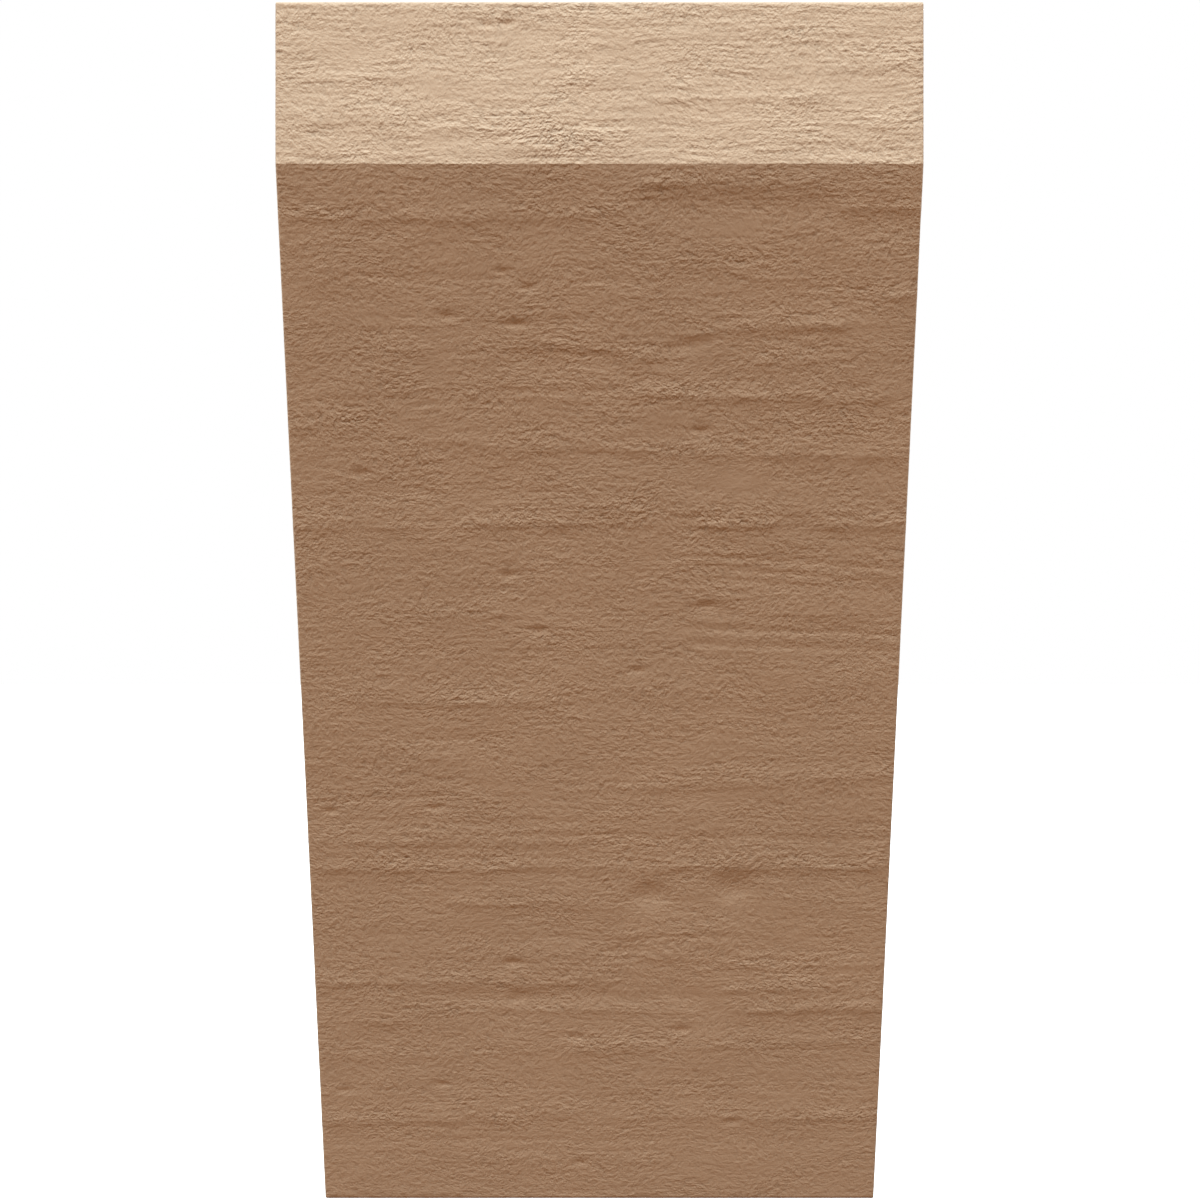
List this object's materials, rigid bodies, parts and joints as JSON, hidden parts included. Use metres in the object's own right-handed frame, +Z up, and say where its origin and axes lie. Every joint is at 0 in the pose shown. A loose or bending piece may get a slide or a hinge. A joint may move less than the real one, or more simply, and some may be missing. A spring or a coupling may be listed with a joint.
{
  "type": "corbel",
  "caption": "Wedge-shaped timber-effect corbel with a flat back and top, an upright nose and an underside that slopes back to a thin toe.",
  "frame": {"origin": "centre of the back face, in the plane of the wall", "axes": "+X along the wall, square to the corbel's plane of symmetry; +Y into the wall, out of the back face; +Z up, along the corbel's height, out of the top face"},
  "size_m": [0.1524, 0.1524, 0.3048],
  "materials": {
    "primed_foam": "matte"
  },
  "bodies": {
    "root": {"corbel": "primed_foam"}
  },
  "joints": []
}
